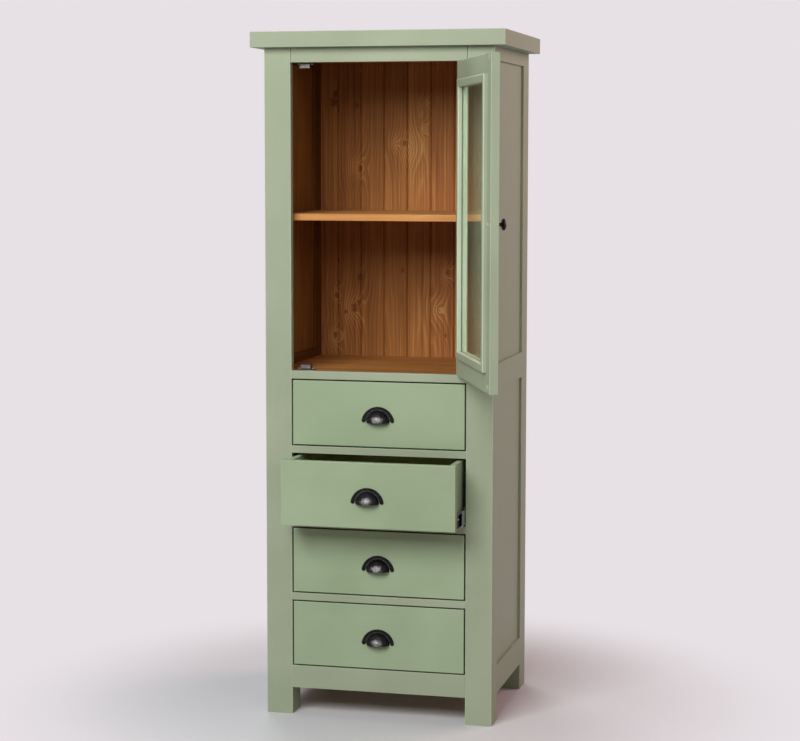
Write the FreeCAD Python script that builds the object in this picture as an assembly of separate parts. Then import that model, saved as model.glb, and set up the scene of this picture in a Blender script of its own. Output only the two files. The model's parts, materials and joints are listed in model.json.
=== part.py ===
import FreeCAD, Part
import math
import os

# A tall painted pine cabinet with a glazed door over an open compartment and four drawers below it.
# Millimetres. X runs to the right, Y to the back and Z up. The origin lies on the floor midway between the feet.
# The door stands open and the second drawer is pulled out in this rest position.

# Overall sizes
total_height = 1900.0
carcass_width = 644.0
carcass_depth = 502.0
top_thickness = 43.0
top_side_overhang = 33.0
top_front_overhang = 27.0

# Frame members
frame_thickness = 22.0
post_width = 74.5
front_post_depth = 76.0
rear_post_depth = 79.0
foot_height = 76.0
top_rail_height = 40.0
rail_seam_width = 1.4
rail_seam_depth = 5.0
waist_rail_height = 22.0
divider_height = 20.0
bottom_rail_height = 63.0
side_top_rail_height = 38.0
side_waist_rail_height = 73.0
side_waist_drop = 46.0
side_bottom_rail_height = 78.0
arris = 1.0
outer_arris = 2.0

# Side panels in grooves
panel_thickness = 8.0
panel_recess = 6.5
groove_depth = 8.0
groove_play = 1.0

# Tongue-and-groove back
back_thickness = 15.0
board_cover = 71.0
board_joint = 0.3
board_chamfer = 3.0
tongue_thickness = 4.5
tongue_length = 6.0
tongue_play = 0.3

# Horizontal panels, shelf and cleats
floor_thickness = 18.0
base_thickness = 15.0
shelf_thickness = 19.0
shelf_rise = 414.0
shelf_setback = 40.0
shelf_end_gap = 1.5
cleat_depth = 29.0
rear_cleat_height = 16.0
pin_radius = 2.5
pin_hole_play = 0.1
pin_depth = 8.0
pin_reach = 12.0
pin_tab_width = 12.0
pin_tab_thickness = 2.0
pin_front_inset = 20.0
pin_rear_inset = 45.0

# Door
fit_gap = 2.0
door_thickness = 22.0
door_frame_width = 70.0
door_open_angle = 112.0
rebate_width = 20.0
glass_sink = 3.0
glass_thickness = 4.0
glass_play = 1.0
bead_proud = 10.0
bead_round = 3.0

# Butt hinges
hinge_height = 64.0
hinge_inset = 45.0
hinge_leaf = 2.0
hinge_leaf_gap = 0.4
hinge_leaf_depth = 20.0
hinge_pin_stand = 4.5
knuckle_radius = 4.0
knuckle_count = 5
knuckle_gap = 0.3
knuckle_clear = 0.4
hinge_pin_radius = 2.0
hinge_pin_play = 0.05
hinge_cap_radius = 3.2
hinge_cap_height = 2.0
leaf_screw_count = 3

# Knob
knob_inset = 30.0
knob_length = 23.9
knob_rim_length = 17.3
knob_radius = 15.4
knob_neck_radius = 5.5
knob_foot_radius = 8.0
knob_screw_depth = 11.0

# Magnetic catches and strike plates
catch_inset = 34.0
catch_ear_length = 46.0
catch_ear_thickness = 3.0
catch_body_length = 31.0
catch_body_height = 13.0
catch_depth = 14.0
magnet_length = 27.0
magnet_height = 9.0
magnet_depth = 9.0
magnet_proud = 0.5
magnet_play = 0.1
magnet_slot = 1.4
magnet_slot_depth = 3.0
strike_radius = 9.0
strike_thickness = 1.5
strike_inset = 12.0
strike_gap = 0.3

# Drawers
drawer_count = 4
drawer_opening_height = 187.5
drawer_gap = 4.4
drawer_front_thickness = 20.0
drawer_side_thickness = 15.0
drawer_bottom_thickness = 6.0
drawer_groove = 6.0
drawer_groove_play = 0.5
drawer_bottom_rise = 6.0
drawer_box_lift = 8.0
drawer_box_drop = 3.0
drawer_back_gap = 36.0
pulled_drawer = 2
drawer_pull_out = 117.0

# Ball-bearing slides and the battens that carry them
slide_space = 12.7
slide_height = 45.0
slide_rise = 27.0
slide_wall = 1.2
slide_play = 0.3
slide_setback = 2.0
slide_back_gap = 64.0
slide_screw_inset = 50.0
batten_height = 40.0

# Cup pulls
pull_flange_radius = 46.8
pull_flange_sink = 3.0
pull_flange_thickness = 2.5
pull_drop = 21.8
pull_lobe_radius = 5.5
pull_lobe_spread = 40.5
cup_half_width = 33.0
cup_height = 34.0
cup_reach = 24.0
cup_wall = 2.5

# Screws
screw_shank_radius = 1.6
screw_head_radius = 3.2
screw_head_height = 2.0
screw_length = 14.0
screw_play = 0.05

# Planes that everything is set out from
side_x = carcass_width / 2
inner_x = side_x - frame_thickness
opening_x = side_x - post_width
front_y = -carcass_depth / 2
rear_y = carcass_depth / 2
frame_back_y = front_y + frame_thickness
back_front_y = rear_y - back_thickness
side_front_y = front_y + front_post_depth
side_rear_y = rear_y - rear_post_depth
under_top_z = total_height - top_thickness
top_rail_z = under_top_z - top_rail_height
bottom_rail_top_z = foot_height + bottom_rail_height
drawer_pitch = drawer_opening_height + divider_height
waist_z = bottom_rail_top_z + drawer_count * drawer_pitch - divider_height
floor_z = waist_z + waist_rail_height
side_waist_z = floor_z - side_waist_drop
side_waist_top_z = side_waist_z + side_waist_rail_height
side_bottom_top_z = foot_height + side_bottom_rail_height
side_top_rail_z = under_top_z - side_top_rail_height
shelf_z = floor_z + shelf_rise
catch_x = -opening_x + catch_inset

# Door set out in its shut position
door_x = opening_x - fit_gap
door_z = floor_z + fit_gap
door_top_z = top_rail_z - fit_gap
door_back_y = front_y + door_thickness
sight_x = door_x - door_frame_width
sight_z = door_z + door_frame_width
sight_top_z = door_top_z - door_frame_width
glass_back_y = door_back_y - glass_sink
glass_front_y = glass_back_y - glass_thickness
hinge_x = opening_x - fit_gap / 2
hinge_y = front_y - hinge_pin_stand
hinge_starts = [door_z + hinge_inset, door_top_z - hinge_inset - hinge_height]
catch_front_y = door_back_y + strike_thickness + strike_gap
strike_heights = [door_z + strike_inset, door_top_z - strike_inset]
knob_x = -door_x + knob_inset
knob_z = (door_z + door_top_z) / 2

# Drawer parts set out in their shut position
front_x = opening_x - drawer_gap
box_x = opening_x - slide_space
box_inner_x = box_x - drawer_side_thickness
box_y = front_y + drawer_front_thickness
box_back_y = back_front_y - drawer_back_gap
slide_y = frame_back_y + slide_setback
slide_end_y = back_front_y - slide_back_gap

up = FreeCAD.Vector(0, 0, 1)
to_back = FreeCAD.Vector(0, 1, 0)
to_front = FreeCAD.Vector(0, -1, 0)
to_right = FreeCAD.Vector(1, 0, 0)


def point(x, y, z):
    return FreeCAD.Vector(x, y, z)


def board(x, y, z):
    """A box between two planes on each axis, given in any order."""
    low = point(min(x), min(y), min(z))
    return Part.makeBox(max(x) - low.x, max(y) - low.y, max(z) - low.z, low)


def both_sides(start, end):
    """The right-hand span of X and its mirror image on the left."""
    return [(start, end), (-start, -end)]


def straight_edges(shape, along):
    """The edges that run along X, Y or Z, each with its middle point."""
    found = []
    for edge in shape.Edges:
        ends = edge.Vertexes
        run = ends[-1].Point - ends[0].Point
        sizes = {"x": abs(run.x), "y": abs(run.y), "z": abs(run.z)}
        if sizes[along] > 0.99 * run.Length > 0:
            found.append((edge, (ends[-1].Point + ends[0].Point) / 2))
    return found


def ease_front(shape, along, radius, face_y):
    """Rounds the long edges that lie on the front face."""
    edges = [edge for edge, middle in straight_edges(shape, along) if abs(middle.y - face_y) < radius / 2]
    return shape.makeFillet(radius, edges)


def fused(solids):
    return solids[0].multiFuse(solids[1:]).removeSplitter()


def screw(seat, inward, countersunk):
    """A wood screw whose head sits on, or sinks level with, the face at seat."""
    shank = Part.makeCylinder(screw_shank_radius, screw_length, seat, inward)
    if countersunk:
        head = Part.makeCone(screw_head_radius, screw_shank_radius, screw_head_height, seat, inward)
    else:
        head = Part.makeCylinder(screw_head_radius, screw_head_height, seat, inward * -1)
        head = head.makeFillet(screw_head_height / 2, head.Edges[0])
    return fused([shank, head])


def screw_hole(seat, inward, countersunk):
    """The hole that clears a screw, open at the seat."""
    radius = screw_shank_radius + screw_play
    hole = Part.makeCylinder(radius, screw_length + screw_play, seat, inward)
    if countersunk:
        head = screw_head_radius + screw_play
        hole = hole.fuse(Part.makeCone(head, radius, screw_head_height + screw_play, seat, inward))
    return hole


# Screw seats, used for the screws and for their holes

def leaf_seats(leaf_x):
    """Screw seats on a hinge leaf, on the face that shows when the door is open."""
    seats = []
    step = hinge_height / leaf_screw_count
    for start in hinge_starts:
        for number in range(leaf_screw_count):
            seats.append(point(leaf_x, front_y + hinge_leaf_depth / 2, start + step * (number + 0.5)))
    return seats


def catch_seats(level):
    """Screw seats on the ears of the catch at the floor (0) or under the top cleat (1)."""
    reach = (catch_ear_length + catch_body_length) / 4
    z = (floor_z + catch_ear_thickness, top_rail_z - catch_ear_thickness)[level]
    y = catch_front_y + magnet_proud + catch_depth / 2
    return [point(catch_x - reach, y, z), point(catch_x + reach, y, z)]


def slide_seats(side, face, number):
    """Screw seats of one slide member, at a distance from the opening's edge."""
    x = side * (opening_x - face)
    z = slide_centre(number)
    return [point(x, slide_y + slide_screw_inset, z), point(x, slide_end_y - slide_screw_inset, z)]


def strike_seats():
    return [point(catch_x, door_back_y + strike_thickness, z) for z in strike_heights]


def lobe_seats(number):
    z = pull_base(number) + pull_lobe_radius
    y = front_y - pull_flange_thickness
    return [point(side * pull_lobe_spread, y, z) for side in (-1, 1)]


frame_leaf_x = hinge_x + hinge_leaf_gap / 2
door_leaf_x = hinge_x - hinge_leaf_gap / 2


# Levels of the drawers, counted from the top

def opening_z(number):
    return bottom_rail_top_z + (drawer_count - number) * drawer_pitch


def slide_centre(number):
    return opening_z(number) + slide_rise


def pull_base(number):
    return opening_z(number) + drawer_opening_height / 2 - pull_drop


def pulled_by(number):
    return drawer_pull_out if number == pulled_drawer else 0.0


drawer_numbers = range(1, drawer_count + 1)


# Carcass

def top_board():
    x = (-side_x - top_side_overhang, side_x + top_side_overhang)
    slab = board(x, (front_y - top_front_overhang, rear_y), (under_top_z, total_height))
    return slab.makeFillet(outer_arris, slab.Edges)


def front_stile(side):
    stile = board((side * opening_x, side * side_x), (front_y, frame_back_y), (0, under_top_z))
    stile = ease_front(stile, "z", outer_arris, front_y)
    if side > 0:
        for start in hinge_starts:
            depth = (front_y, front_y + hinge_leaf_depth)
            pocket = board((opening_x, frame_leaf_x + hinge_leaf), depth, (start, start + hinge_height))
            stile = stile.cut(pocket)
        for seat in leaf_seats(frame_leaf_x):
            stile = stile.cut(screw_hole(seat, to_right, True))
    return stile


def front_rail(low, high):
    rail = board((-opening_x, opening_x), (front_y, frame_back_y), (low, high))
    return ease_front(rail, "x", arris, front_y)


def top_rail():
    """The rail under the top, with a fine shadow line beside each post."""
    rail = front_rail(top_rail_z, under_top_z)
    for x in both_sides(opening_x - rail_seam_width, opening_x):
        rail = rail.cut(board(x, (front_y, front_y + rail_seam_depth), (top_rail_z, under_top_z)))
    return rail


def divider_rails():
    rails = []
    for number in drawer_numbers[:-1]:
        high = opening_z(number)
        rails.append(front_rail(high - divider_height, high))
    return rails


def panel_spans():
    """The clear heights of the lower and the upper side panel."""
    return [(side_bottom_top_z, side_waist_z), (side_waist_top_z, side_top_rail_z)]


def panel_x(side):
    face = side_x - panel_recess
    return (side * face, side * (face - panel_thickness))


def panel_groove(side, span):
    y = (side_front_y - groove_depth, side_rear_y + groove_depth)
    return board(panel_x(side), y, (span[0] - groove_depth, span[1] + groove_depth))


def pin_places():
    return [frame_back_y + pin_front_inset, rear_y - pin_rear_inset]


def side_stiles(side):
    stiles = []
    for y in ((frame_back_y, side_front_y), (side_rear_y, rear_y)):
        stile = board((side * inner_x, side * side_x), y, (0, under_top_z))
        for span in panel_spans():
            stile = stile.cut(panel_groove(side, span))
        for pin_y in pin_places():
            hole = Part.makeCylinder(pin_radius + pin_hole_play, pin_depth + pin_hole_play,
                                     point(side * inner_x, pin_y, pin_centre()), to_right * side)
            stile = stile.cut(hole)
        stiles.append(stile)
    return stiles


def side_rails():
    rails = []
    levels = ((foot_height, side_bottom_top_z), (side_waist_z, side_waist_top_z), (side_top_rail_z, under_top_z))
    for side in (-1, 1):
        for level in levels:
            rail = board((side * inner_x, side * side_x), (side_front_y, side_rear_y), level)
            for span in panel_spans():
                rail = rail.cut(panel_groove(side, span))
            rails.append(rail)
    return rails


def side_panels():
    panels = []
    entry = groove_depth - groove_play
    for side in (-1, 1):
        for span in panel_spans():
            y = (side_front_y - entry, side_rear_y + entry)
            panels.append(board(panel_x(side), y, (span[0] - entry, span[1] + entry)))
    return panels


def foot_blocks():
    blocks = []
    for x in both_sides(opening_x, inner_x):
        blocks.append(board(x, (frame_back_y, side_front_y), (0, foot_height)))
        blocks.append(board(x, (side_rear_y, rear_y), (0, foot_height)))
    return blocks


def back_board(x, first, last):
    """One board seen from above: chamfered face, a groove on the left and a tongue on the right."""
    start, end = x
    middle = (back_front_y + rear_y) / 2
    half_tongue = tongue_thickness / 2
    half_groove = half_tongue + tongue_play
    left = 0 if first else board_chamfer
    right = 0 if last else board_chamfer
    outline = [(start + left, back_front_y), (end - right, back_front_y)]
    if not last:
        outline.append((end, back_front_y + right))
        outline.append((end, middle - half_tongue))
        outline.append((end + tongue_length, middle - half_tongue))
        outline.append((end + tongue_length, middle + half_tongue))
        outline.append((end, middle + half_tongue))
    outline += [(end, rear_y), (start, rear_y)]
    if not first:
        depth = tongue_length + board_joint + tongue_play
        outline.append((start, middle + half_groove))
        outline.append((start + depth - board_joint, middle + half_groove))
        outline.append((start + depth - board_joint, middle - half_groove))
        outline.append((start, middle - half_groove))
        outline.append((start, back_front_y + left))
    corners = [point(px, py, foot_height) for px, py in outline]
    face = Part.Face(Part.makePolygon(corners + corners[:1]))
    return face.extrude(up * (under_top_z - foot_height))


def back_boards():
    """Full boards in the middle and two narrower ones at the sides."""
    width = 2 * inner_x
    full = int(width // board_cover) - 1
    edge = (width - full * board_cover) / 2
    joints = [-inner_x] + [-inner_x + edge + step * board_cover for step in range(full + 1)] + [inner_x]
    boards = []
    for number in range(full + 2):
        first = number == 0
        last = number == full + 1
        end = joints[number + 1] if last else joints[number + 1] - board_joint
        boards.append(back_board((joints[number], end), first, last))
    return boards


def inside_panel(low, thickness):
    """A panel that fills the carcass between the side frames, the front frame and the back."""
    return board((-inner_x, inner_x), (frame_back_y, back_front_y), (low, low + thickness))


def compartment_floor():
    panel = inside_panel(floor_z - floor_thickness, floor_thickness)
    for seat in catch_seats(0):
        panel = panel.cut(screw_hole(seat, up * -1, False))
    return panel


def top_cleats():
    """Battens under the top, which fix it to the frame and carry the upper catch."""
    front = board((-inner_x, inner_x), (frame_back_y, frame_back_y + cleat_depth), (top_rail_z, under_top_z))
    for seat in catch_seats(1):
        front = front.cut(screw_hole(seat, up, False))
    rear_z = (under_top_z - rear_cleat_height, under_top_z)
    rear = board((-inner_x, inner_x), (back_front_y - cleat_depth, back_front_y), rear_z)
    return [front, rear]


def shelf():
    x = (-inner_x + shelf_end_gap, inner_x - shelf_end_gap)
    slab = board(x, (front_y + shelf_setback, back_front_y - shelf_end_gap), (shelf_z, shelf_z + shelf_thickness))
    return ease_front(slab, "x", outer_arris, front_y + shelf_setback)


def pin_centre():
    return shelf_z - pin_tab_thickness - pin_radius / 2


def shelf_pins():
    """Push-in pins with a flat tab that the shelf lies on."""
    pins = []
    for side in (-1, 1):
        for y in pin_places():
            start = point(side * (inner_x - pin_reach), y, pin_centre())
            peg = Part.makeCylinder(pin_radius, pin_reach + pin_depth, start, to_right * side)
            tab = board((side * (inner_x - pin_reach), side * inner_x),
                        (y - pin_tab_width / 2, y + pin_tab_width / 2), (shelf_z - pin_tab_thickness, shelf_z))
            pins.append(fused([peg, tab]))
    return pins


# Magnetic catches, one on the compartment floor and one under the top

def catch_levels():
    """For each catch: the face it is screwed to and the way it stands out from it."""
    return [(floor_z, 1), (top_rail_z, -1)]


def magnet_box(level, play):
    face, way = level
    middle = face + way * (catch_ear_thickness + catch_body_height / 2)
    half = magnet_height / 2 + play
    x = (catch_x - magnet_length / 2 - play, catch_x + magnet_length / 2 + play)
    y = (catch_front_y, catch_front_y + magnet_depth + play)
    return board(x, y, (middle - half, middle + half))


def catch_housings():
    housings = []
    y = (catch_front_y + magnet_proud, catch_front_y + magnet_proud + catch_depth)
    for number, level in enumerate(catch_levels()):
        face, way = level
        ear_top = face + way * catch_ear_thickness
        ears = board((catch_x - catch_ear_length / 2, catch_x + catch_ear_length / 2), y, (face, ear_top))
        body = board((catch_x - catch_body_length / 2, catch_x + catch_body_length / 2), y,
                     (ear_top, ear_top + way * catch_body_height))
        body = body.makeFillet(arris, [edge for edge, middle in straight_edges(body, "y")])
        housing = fused([ears, body]).cut(magnet_box(level, magnet_play))
        for seat in catch_seats(number):
            housing = housing.cut(screw_hole(seat, up * -way, False))
        housings.append(housing)
    return housings


def catch_magnets():
    """Two steel pole pieces with a slot between them, standing a little proud of the housing."""
    magnets = []
    for level in catch_levels():
        block = magnet_box(level, 0)
        middle = block.CenterOfMass.z
        box = block.BoundBox
        slot = board((box.XMin, box.XMax), (catch_front_y, catch_front_y + magnet_slot_depth),
                     (middle - magnet_slot / 2, middle + magnet_slot / 2))
        magnets.append(block.cut(slot))
    return magnets


# Hinges

def knuckle_spans(start, odd):
    """The heights of every second knuckle."""
    length = (hinge_height - (knuckle_count - 1) * knuckle_gap) / knuckle_count
    spans = []
    for number in range(odd, knuckle_count, 2):
        low = start + number * (length + knuckle_gap)
        spans.append((low, low + length))
    return spans


def upright(radius, span):
    """A cylinder round the hinge axis."""
    return Part.makeCylinder(radius, span[1] - span[0], point(hinge_x, hinge_y, span[0]))


def hinge_leaf_at(start, x, odd):
    plate = board(x, (hinge_y, front_y + hinge_leaf_depth), (start, start + hinge_height))
    for low, high in knuckle_spans(start, 1 - odd):
        plate = plate.cut(upright(knuckle_radius + knuckle_clear, (low - knuckle_gap, high + knuckle_gap)))
    leaf = fused([plate] + [upright(knuckle_radius, span) for span in knuckle_spans(start, odd)])
    return leaf.cut(upright(hinge_pin_radius + hinge_pin_play, (start, start + hinge_height)))


def frame_leaves():
    leaves = []
    for start in hinge_starts:
        leaf = hinge_leaf_at(start, (frame_leaf_x, frame_leaf_x + hinge_leaf), 0)
        for seat in leaf_seats(frame_leaf_x):
            leaf = leaf.cut(screw_hole(seat, to_right, True))
        leaves.append(leaf)
    return leaves


def door_leaves():
    leaves = []
    for start in hinge_starts:
        leaf = hinge_leaf_at(start, (door_leaf_x - hinge_leaf, door_leaf_x), 1)
        for seat in leaf_seats(door_leaf_x):
            leaf = leaf.cut(screw_hole(seat, to_right * -1, True))
        leaves.append(leaf)
    return leaves


def hinge_pins():
    pins = []
    for start in hinge_starts:
        end = start + hinge_height
        shaft = upright(hinge_pin_radius, (start - hinge_cap_height, end + hinge_cap_height))
        low_cap = upright(hinge_cap_radius, (start - knuckle_gap - hinge_cap_height, start - knuckle_gap))
        high_cap = upright(hinge_cap_radius, (end + knuckle_gap, end + knuckle_gap + hinge_cap_height))
        low_cap = low_cap.makeFillet(hinge_cap_height / 2, low_cap.Edges[2])
        high_cap = high_cap.makeFillet(hinge_cap_height / 2, high_cap.Edges[0])
        pins.append(fused([shaft, low_cap, high_cap]))
    return pins


# Door, made shut and swung open about the hinge axis

def swung(shape):
    turned = shape.copy()
    turned.rotate(point(hinge_x, hinge_y, 0), up, door_open_angle)
    return turned


def glass_rebate():
    x = (-sight_x - rebate_width, sight_x + rebate_width)
    return board(x, (glass_front_y, door_back_y), (sight_z - rebate_width, sight_top_z + rebate_width))


def door_stile(side):
    stile = board((side * sight_x, side * door_x), (front_y, door_back_y), (door_z, door_top_z))
    stile = ease_front(stile, "z", arris, front_y)
    stile = ease_front(stile, "z", arris, door_back_y).cut(glass_rebate())
    if side > 0:
        for start in hinge_starts:
            depth = (front_y, front_y + hinge_leaf_depth)
            stile = stile.cut(board((door_leaf_x - hinge_leaf, door_x), depth, (start, start + hinge_height)))
        for seat in leaf_seats(door_leaf_x):
            stile = stile.cut(screw_hole(seat, to_right * -1, True))
    else:
        bore = Part.makeCylinder(screw_shank_radius + screw_play, door_thickness,
                                 point(knob_x, front_y, knob_z), to_back)
        stile = stile.cut(bore)
        for seat in strike_seats():
            stile = stile.cut(screw_hole(seat, to_front, True))
    return stile


def door_rail(low):
    rail = board((-sight_x, sight_x), (front_y, door_back_y), (low, low + door_frame_width))
    rail = ease_front(rail, "x", arris, front_y)
    return ease_front(rail, "x", arris, door_back_y).cut(glass_rebate())


def door_glass():
    x = sight_x + rebate_width - glass_play
    z = (sight_z - rebate_width + glass_play, sight_top_z + rebate_width - glass_play)
    return board((-x, x), (glass_front_y, glass_back_y), z)


def glazing_bead(outer_corners, inner_corners):
    """A mitred bead between two corners of the rebate and two corners of the sight opening."""
    (ax, az), (bx, bz) = outer_corners
    (cx, cz), (dx, dz) = inner_corners
    corners = [point(x, glass_back_y, z) for x, z in ((ax, az), (bx, bz), (dx, dz), (cx, cz))]
    face = Part.Face(Part.makePolygon(corners + corners[:1]))
    bead = face.extrude(to_back * (glass_sink + bead_proud))
    along = "x" if az == bz else "z"
    return ease_front(bead, along, bead_round, door_back_y + bead_proud)


def glazing_beads():
    outer_x = sight_x + rebate_width
    outer = [(-outer_x, sight_z - rebate_width), (outer_x, sight_z - rebate_width),
             (outer_x, sight_top_z + rebate_width), (-outer_x, sight_top_z + rebate_width)]
    inner = [(-sight_x, sight_z), (sight_x, sight_z), (sight_x, sight_top_z), (-sight_x, sight_top_z)]
    beads = []
    for start in range(4):
        end = (start + 1) % 4
        beads.append(glazing_bead((outer[start], outer[end]), (inner[start], inner[end])))
    return beads


def door_knob():
    """A turned knob: a waisted neck and a round, flattened head, bored for its screw."""
    half_head = knob_length - knob_rim_length
    neck_turn = math.acos(knob_neck_radius / knob_radius)
    neck_length = knob_rim_length - half_head * math.sin(neck_turn)
    waist = knob_neck_radius - (knob_foot_radius - knob_neck_radius) / 4

    def place(radius, out):
        return point(knob_x + radius, front_y - out, knob_z)

    base = place(0, 0)
    foot = place(knob_foot_radius, 0)
    neck_bend = place(waist, neck_length / 2)
    neck = place(knob_neck_radius, neck_length)
    neck_end = place(knob_neck_radius, knob_rim_length)
    middle = place(0, knob_rim_length)
    edges = [Part.makeLine(base, foot), Part.Arc(foot, neck_bend, neck).toShape(),
             Part.makeLine(neck, neck_end), Part.makeLine(neck_end, middle), Part.makeLine(middle, base)]
    stem = Part.Face(Part.Wire(edges)).revolve(base, to_front, 360)
    bore = Part.makeCylinder(screw_shank_radius + screw_play, knob_screw_depth + screw_play, base, to_front)
    return fused([stem, ellipsoid(knob_radius, half_head, knob_radius, middle)]).cut(bore)


def strike_plates():
    plates = []
    for z in strike_heights:
        disc = Part.makeCylinder(strike_radius, strike_thickness, point(catch_x, door_back_y, z), to_back)
        for seat in strike_seats():
            disc = disc.cut(screw_hole(seat, to_front, True))
        plates.append(disc)
    return plates


def knob_screw():
    """The machine screw that holds the knob, with its head on the inside of the door."""
    seat = point(knob_x, door_back_y, knob_z)
    shank = Part.makeCylinder(screw_shank_radius, door_thickness + knob_screw_depth, seat, to_front)
    head = Part.makeCylinder(screw_head_radius, screw_head_height, seat, to_back)
    return fused([shank, head])


def door_screws():
    screws = [screw(seat, to_right * -1, True) for seat in leaf_seats(door_leaf_x)]
    screws += [screw(seat, to_front, True) for seat in strike_seats()]
    return screws + [knob_screw()]


# Drawers, made shut and pulled forward where they stand open

def pulled(shape, distance):
    moved = shape.copy()
    moved.translate(to_front * distance)
    return moved


def bottom_level(number):
    return opening_z(number) + drawer_box_lift + drawer_bottom_rise


def bottom_groove(number):
    x = box_inner_x + drawer_groove
    low = bottom_level(number)
    return board((-x, x), (box_y - drawer_groove, box_back_y), (low, low + drawer_bottom_thickness))


def box_top(number):
    return opening_z(number) + drawer_opening_height - drawer_gap - drawer_box_drop


def drawer_front(number):
    z = (opening_z(number) + drawer_gap, opening_z(number) + drawer_opening_height - drawer_gap)
    front = board((-front_x, front_x), (front_y, box_y), z)
    face_edges = [edge for edge in front.Edges if abs(edge.CenterOfMass.y - front_y) < arris / 2]
    front = front.makeFillet(arris, face_edges).cut(bottom_groove(number))
    for seat in lobe_seats(number):
        front = front.cut(screw_hole(seat, to_back, False))
    return front


def drawer_box(number):
    """Two sides and a back."""
    z = (opening_z(number) + drawer_box_lift, box_top(number))
    solids = []
    for side in (-1, 1):
        wall = board((side * box_inner_x, side * box_x), (box_y, box_back_y), z).cut(bottom_groove(number))
        for seat in slide_seats(side, slide_space - slide_wall, number):
            wall = wall.cut(screw_hole(seat, to_right * -side, False))
        solids.append(wall)
    low = bottom_level(number) + drawer_bottom_thickness
    y = (box_back_y - drawer_side_thickness, box_back_y)
    solids.append(board((-box_inner_x, box_inner_x), y, (low, z[1])))
    return solids


def drawer_bottom(number):
    x = box_inner_x + drawer_groove - drawer_groove_play
    low = bottom_level(number)
    y = (box_y - drawer_groove + drawer_groove_play, box_back_y)
    return board((-x, x), y, (low, low + drawer_bottom_thickness))


def ellipsoid(half_width, reach, height, base):
    """An ellipsoid centred on a point, with its half sizes along X, Y and Z."""
    stretch = FreeCAD.Matrix()
    stretch.scale(half_width, reach, height)
    ball = Part.makeSphere(1).transformGeometry(stretch)
    ball.translate(base)
    return ball


def drawer_pull(number):
    """A cast cup pull: a half-round flange with two screw lobes, and a cup that opens downwards."""
    base = point(0, front_y, pull_base(number))
    lobe_z = base.z + pull_lobe_radius
    wide = 2 * pull_flange_radius
    disc = Part.makeCylinder(pull_flange_radius, pull_flange_thickness, base - up * pull_flange_sink, to_front)
    keep = board((-wide, wide), (front_y - wide, front_y), (lobe_z, lobe_z + wide))
    flange = disc.common(keep)
    for seat in lobe_seats(number):
        lobe = Part.makeCylinder(pull_lobe_radius, pull_flange_thickness, point(seat.x, front_y, seat.z), to_front)
        flange = flange.fuse(lobe)
    above = board((-wide, wide), (front_y - wide, front_y), (base.z, base.z + wide))
    cup = ellipsoid(cup_half_width, cup_reach, cup_height, base).common(above)
    hollow = ellipsoid(cup_half_width - cup_wall, cup_reach - cup_wall, cup_height - cup_wall, base)
    casting = flange.fuse(cup).cut(hollow)
    for seat in lobe_seats(number):
        casting = casting.cut(screw_hole(seat, to_back, False))
    return [casting] + [screw(seat, to_back, False) for seat in lobe_seats(number)]


# Slides: an outer member on the batten, a middle member that runs half as far, an inner one on the drawer

def channel(side, number, web, lip, half):
    """A channel along the drawer's side, with its web and its two flanges at distances from the opening."""
    z = slide_centre(number)
    y = (slide_y, slide_end_y)

    def across(span):
        return (side * (opening_x - span[0]), side * (opening_x - span[1]))

    flanges = (min(web + lip), max(web + lip))
    return fused([board(across(web), y, (z - half, z + half)),
                  board(across(flanges), y, (z + half - slide_wall, z + half)),
                  board(across(flanges), y, (z - half, z - half + slide_wall))])


slide_step = slide_wall + slide_play


def outer_members():
    members = []
    for number in drawer_numbers:
        for side in (-1, 1):
            lip = (slide_space - 2 * slide_step,)
            member = channel(side, number, (0, slide_wall), lip, slide_height / 2)
            for seat in slide_seats(side, slide_wall, number):
                member = member.cut(screw_hole(seat, to_right * side, True))
            members.append(member)
    return members


def middle_members(number):
    web = (slide_step, slide_step + slide_wall)
    lip = (slide_space - 2 * slide_step,)
    half = slide_height / 2 - slide_step
    return [channel(side, number, web, lip, half) for side in (-1, 1)]


def inner_members(number):
    """The members on the drawer, with the screws that hold them."""
    half = slide_height / 2 - 2 * slide_step
    solids = []
    for side in (-1, 1):
        seats = slide_seats(side, slide_space - slide_wall, number)
        member = channel(side, number, (slide_space - slide_wall, slide_space), (2 * slide_step,), half)
        for seat in seats:
            member = member.cut(screw_hole(seat, to_right * -side, False))
        solids.append(member)
        solids += [screw(seat, to_right * -side, False) for seat in seats]
    return solids


def slide_battens():
    battens = []
    for number in drawer_numbers:
        for side in (-1, 1):
            z = slide_centre(number)
            batten = board((side * opening_x, side * inner_x), (frame_back_y, back_front_y),
                           (z - batten_height / 2, z + batten_height / 2))
            for seat in slide_seats(side, slide_wall, number):
                batten = batten.cut(screw_hole(seat, to_right * side, True))
            battens.append(batten)
    return battens


def carcass_screws():
    screws = [screw(seat, to_right, True) for seat in leaf_seats(frame_leaf_x)]
    for number, level in enumerate(catch_levels()):
        screws += [screw(seat, up * -level[1], False) for seat in catch_seats(number)]
    for number in drawer_numbers:
        for side in (-1, 1):
            screws += [screw(seat, to_right * side, True) for seat in slide_seats(side, slide_wall, number)]
    return screws


# The whole cabinet, one node per name

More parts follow.
